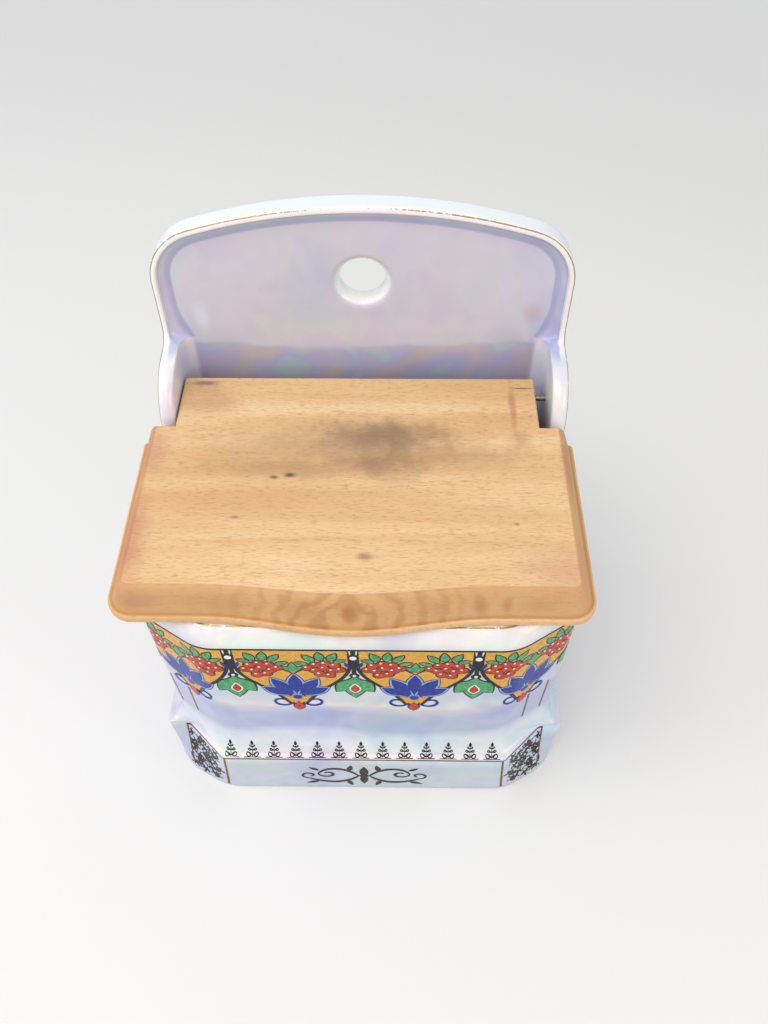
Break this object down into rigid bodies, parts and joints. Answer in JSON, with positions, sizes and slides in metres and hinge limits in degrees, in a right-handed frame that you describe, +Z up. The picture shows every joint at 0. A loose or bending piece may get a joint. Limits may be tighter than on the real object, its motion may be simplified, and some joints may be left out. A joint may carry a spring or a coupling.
{
  "type": "salt box with hinged lid",
  "caption": "Ceramic wall box for salt with an arched back plate, a hanging hole and a moulded wooden lid that turns on pins in the cheeks.",
  "frame": {"origin": "on the surface that the box stands on, under the middle of its outline", "axes": "+Z up, the front and the lid's free edge face -Y, the flat back faces +Y, and the hinge axis runs along X"},
  "size_m": [0.1484, 0.1098, 0.1875],
  "materials": {
    "glazed_ceramic": "pearl lustre glaze on slip-cast earthenware, with transfer decoration and gilt lines",
    "beech": "sanded beech, worn and lightly stained",
    "pin_wire": "dull steel wire"
  },
  "bodies": {
    "box": {"body": "glazed_ceramic"},
    "lid": {"lid": "beech", "hinge_pin_left": "pin_wire", "hinge_pin_right": "pin_wire"}
  },
  "joints": [
    {"name": "lid_hinge", "type": "hinge", "parent": "box", "child": "lid", "pos_m": [0, 0.037, 0.1197], "axis": [-1, 0, 0], "range_deg": [0, 95]}
  ]
}
